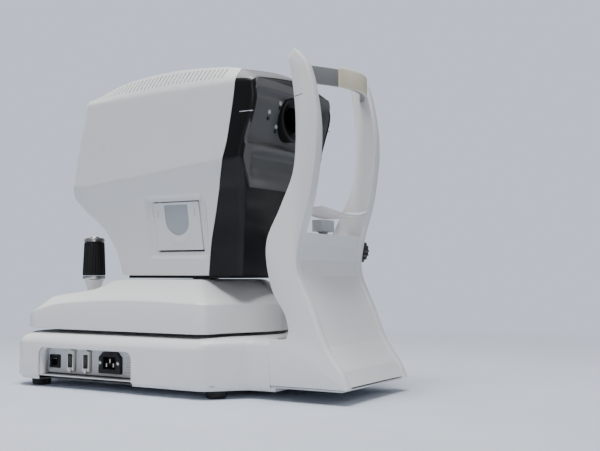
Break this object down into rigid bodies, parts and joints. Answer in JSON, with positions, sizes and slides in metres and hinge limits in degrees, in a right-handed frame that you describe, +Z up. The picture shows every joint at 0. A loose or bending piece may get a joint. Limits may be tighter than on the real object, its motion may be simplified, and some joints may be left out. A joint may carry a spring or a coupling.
{
  "type": "autorefractor",
  "caption": "Table-top eye refraction instrument: a measuring head with screen on a joystick-driven sliding stage, with chin rest and forehead rest.",
  "frame": {"origin": "bottom centre of the bounding box, on the plane of the feet", "axes": "+Z up, +Y from the operator towards the patient, +X to the operator's right"},
  "size_m": [0.262, 0.51, 0.428],
  "materials": {
    "white_casing": "satin moulded",
    "black_casing": "smooth black",
    "grey_casing": "fine texture",
    "rubber": "matte",
    "steel": "machined",
    "aluminium": "satin",
    "glass": "polished",
    "silicone": "translucent",
    "clear_plastic": "translucent",
    "circuit_board": "solder mask",
    "paper": "plain"
  },
  "bodies": {
    "base": {"base_cover": "white_casing", "base_plate": "steel", "foot_front_left": "rubber", "foot_front_right": "rubber", "foot_rear_left": "rubber", "foot_rear_right": "rubber", "lock_screw_left": "steel", "lock_screw_right": "steel", "connector_panel": "grey_casing", "lan_jack": "black_casing", "serial_port_1": "steel", "serial_port_2": "steel", "power_inlet": "black_casing", "power_supply": "aluminium", "switch_frame": "black_casing", "rail_left": "steel", "rail_right": "steel", "friction_plate": "steel", "upright_left": "white_casing", "upright_right": "white_casing", "headrest_panel": "white_casing", "headrest_rear_cover": "white_casing", "forehead_band": "grey_casing", "forehead_pad": "silicone"},
    "power_switch": {"switch_rocker": "black_casing"},
    "chin_rest": {"chin_cup": "clear_plastic", "chin_post": "steel"},
    "chin_adjuster": {"chin_shaft": "steel", "chin_knob": "black_casing"},
    "carriage": {"carriage_frame": "aluminium"},
    "axle": {"roller_axle": "steel"},
    "stage": {"stage_cover": "white_casing", "stage_plate": "steel", "cross_rod_front": "steel", "cross_rod_rear": "steel", "lift_column": "steel", "lift_skirt": "black_casing", "joystick_boot": "rubber"},
    "gimbal": {"joystick_gimbal": "steel"},
    "joystick": {"joystick_rod": "steel", "joystick_cap": "aluminium"},
    "grip": {"joystick_grip": "black_casing"},
    "button": {"measure_button": "grey_casing"},
    "head": {"side_cover_left": "white_casing", "side_cover_right": "white_casing", "screen_bezel": "black_casing", "display": "glass", "lower_front_panel": "black_casing", "patient_face": "grey_casing", "rear_lower_cover": "black_casing", "lens_ring": "black_casing", "window_glass": "glass", "objective_tube": "aluminium", "optical_bench": "aluminium", "main_board": "circuit_board", "head_plate": "steel", "printer_mechanism": "grey_casing", "paper_roll": "paper"},
    "door": {"printer_door": "white_casing", "door_window": "clear_plastic"}
  },
  "joints": [
    {"name": "stage_front_back", "type": "slide", "parent": "base", "child": "carriage", "axis": [0, 1, 0], "range_m": [-0.015, 0.03]},
    {"name": "axle_roll", "type": "hinge", "parent": "carriage", "child": "axle", "pos_m": [0, -0.05, 0.0873], "axis": [1, 0, 0], "range_deg": [-220, 110]},
    {"name": "stage_left_right", "type": "slide", "parent": "carriage", "child": "stage", "axis": [1, 0, 0], "range_m": [-0.043, 0.043]},
    {"name": "joystick_pitch", "type": "hinge", "parent": "stage", "child": "gimbal", "pos_m": [0, -0.218, 0.104], "axis": [1, 0, 0], "range_deg": [-10, 10]},
    {"name": "joystick_roll", "type": "hinge", "parent": "gimbal", "child": "joystick", "pos_m": [0, -0.218, 0.104], "axis": [0, 1, 0], "range_deg": [-10, 10]},
    {"name": "joystick_twist", "type": "hinge", "parent": "joystick", "child": "grip", "pos_m": [0, -0.218, 0.17], "axis": [0, 0, 1], "range_deg": [0, 360]},
    {"name": "measure_button_press", "type": "slide", "parent": "joystick", "child": "button", "axis": [0, 0, -1], "range_m": [0, 0.0025], "stiffness_N_per_m": 400, "springref_m": -0.001},
    {"name": "head_lift", "type": "slide", "parent": "stage", "child": "head", "axis": [0, 0, 1], "range_m": [0, 0.03]},
    {"name": "printer_door_open", "type": "hinge", "parent": "head", "child": "door", "pos_m": [0.07001, 0.001, 0.1843], "axis": [0, 1, 0], "range_deg": [0, 80]},
    {"name": "chin_rest_lift", "type": "slide", "parent": "base", "child": "chin_rest", "axis": [0, 0, 1], "range_m": [0, 0.06]},
    {"name": "chin_knob_turn", "type": "hinge", "parent": "base", "child": "chin_adjuster", "pos_m": [0, 0.164, 0.185], "axis": [1, 0, 0], "range_deg": [0, 430]},
    {"name": "power_switch_rock", "type": "hinge", "parent": "base", "child": "power_switch", "pos_m": [-0.126, -0.097, 0.036], "axis": [0, 1, 0], "range_deg": [0, 15]}
  ],
  "couplings": [
    {"joint": "axle_roll", "follows": "stage_front_back", "rad_per_m": -125},
    {"joint": "joystick_twist", "follows": "head_lift", "rad_per_m": 209.4},
    {"joint": "chin_knob_turn", "follows": "chin_rest_lift", "rad_per_m": 125}
  ]
}
